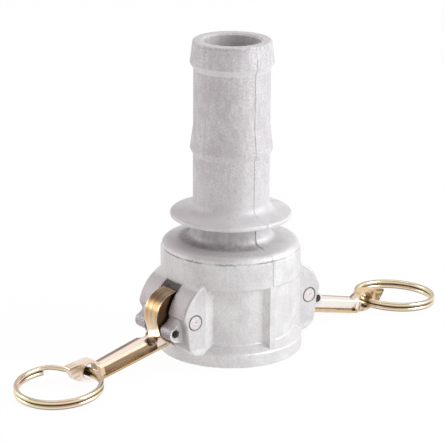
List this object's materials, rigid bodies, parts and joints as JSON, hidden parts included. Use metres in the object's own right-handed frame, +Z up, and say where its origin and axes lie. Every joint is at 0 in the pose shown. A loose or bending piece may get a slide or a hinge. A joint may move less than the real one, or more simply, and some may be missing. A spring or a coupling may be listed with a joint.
{
  "type": "cam lever hose coupling",
  "caption": "Hose coupling with a barbed shank for a hose and a socket whose hinged cam arms with pull rings clamp a grooved adapter.",
  "frame": {"origin": "centre of the socket's open mouth, in the plane of its rim, where the coupling stands on the table", "axes": "+Z up along the flow axis from the socket to the hose end, X across the cam arms, Y along their pivot pins; -Y is the side the picture shows"},
  "size_m": [0.1754, 0.0488, 0.106],
  "materials": {
    "casting": "matt cast and blasted",
    "gasket": "matt",
    "pin": "ground",
    "arm": "polished",
    "ring": "yellow passivated wire"
  },
  "bodies": {
    "body": {"coupler_body": "casting", "socket_gasket": "gasket", "pivot_pin_left": "pin", "pivot_pin_right": "pin"},
    "arm_left": {"cam_arm_left": "arm"},
    "arm_right": {"cam_arm_right": "arm"},
    "ring_left": {"pull_ring_left": "ring"},
    "ring_right": {"pull_ring_right": "ring"}
  },
  "joints": [
    {"name": "arm_left_pivot", "type": "hinge", "parent": "body", "child": "arm_left", "pos_m": [-0.0241, 0, 0.0161], "axis": [0, 1, 0], "range_deg": [-20, 103]},
    {"name": "arm_right_pivot", "type": "hinge", "parent": "body", "child": "arm_right", "pos_m": [0.0241, 0, 0.0161], "axis": [0, -1, 0], "range_deg": [-20, 103]},
    {"name": "ring_left_swing", "type": "hinge", "parent": "arm_left", "child": "ring_left", "pos_m": [-0.05891, -0.00073, 0.00385], "axis": [0, 1, 0], "range_deg": [-165, 18]},
    {"name": "ring_right_swing", "type": "hinge", "parent": "arm_right", "child": "ring_right", "pos_m": [0.05891, -0.00073, 0.00385], "axis": [0, -1, 0], "range_deg": [-165, 18]}
  ]
}
